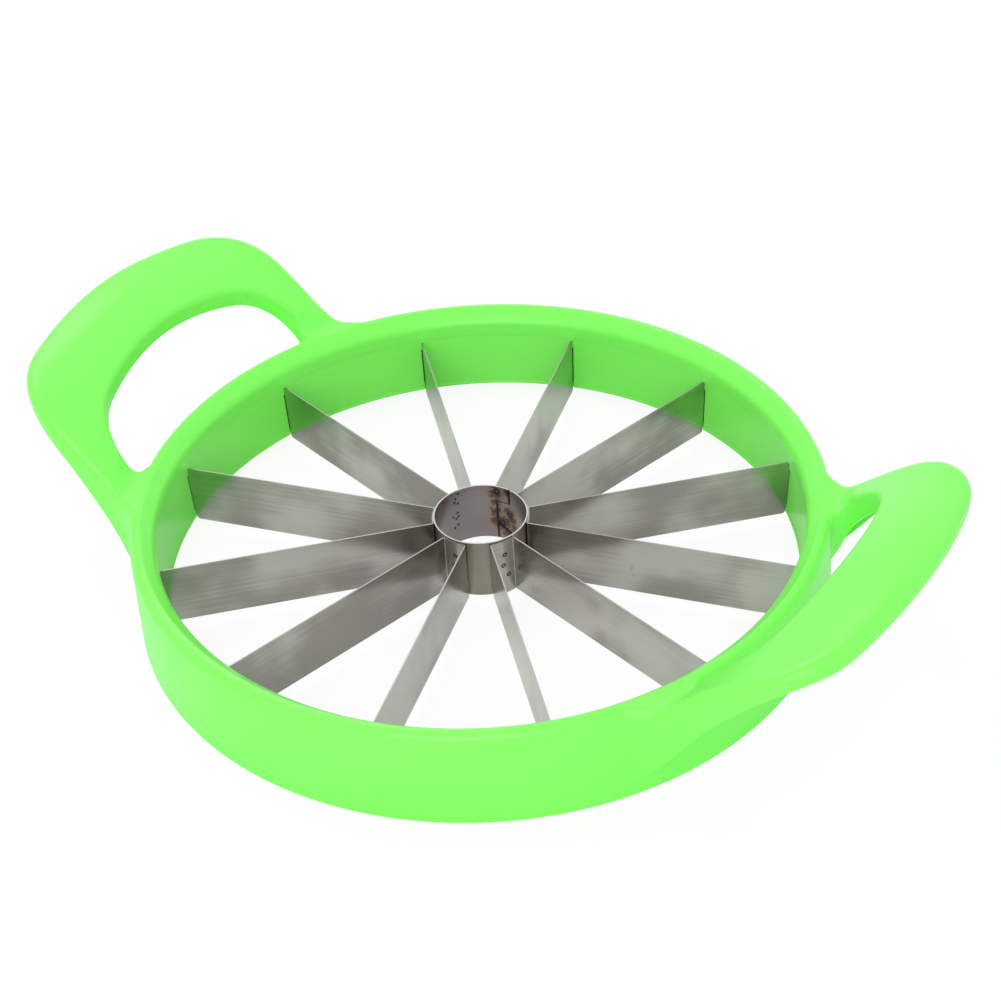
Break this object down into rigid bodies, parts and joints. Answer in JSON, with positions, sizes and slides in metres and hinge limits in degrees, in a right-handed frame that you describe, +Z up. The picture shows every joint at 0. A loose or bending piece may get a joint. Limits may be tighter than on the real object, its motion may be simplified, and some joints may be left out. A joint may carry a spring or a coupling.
{
  "type": "watermelon slicer",
  "caption": "Push-down melon slicer: a moulded plastic ring with raised loop handles on both sides, radial steel blades folded in pairs from strip, and a rolled tube for the core.",
  "frame": {"origin": "middle of the ring on the plane it rests on", "axes": "+Z up, +X along the line through both handles, +Y across it"},
  "size_m": [0.3828, 0.28, 0.084],
  "materials": {
    "green_moulding": "glossy light green moulding",
    "blade_steel": "satin rolled strip",
    "tube_steel": "satin rolled sheet with welds",
    "closing_plastic": "glossy light green moulding"
  },
  "bodies": {
    "root": {"ring": "green_moulding", "handle_right": "green_moulding", "handle_left": "green_moulding", "blade_pair_1": "blade_steel", "blade_pair_2": "blade_steel", "blade_pair_3": "blade_steel", "blade_pair_4": "blade_steel", "blade_pair_5": "blade_steel", "blade_pair_6": "blade_steel", "core_tube": "tube_steel", "closing_ring": "closing_plastic"}
  },
  "joints": []
}
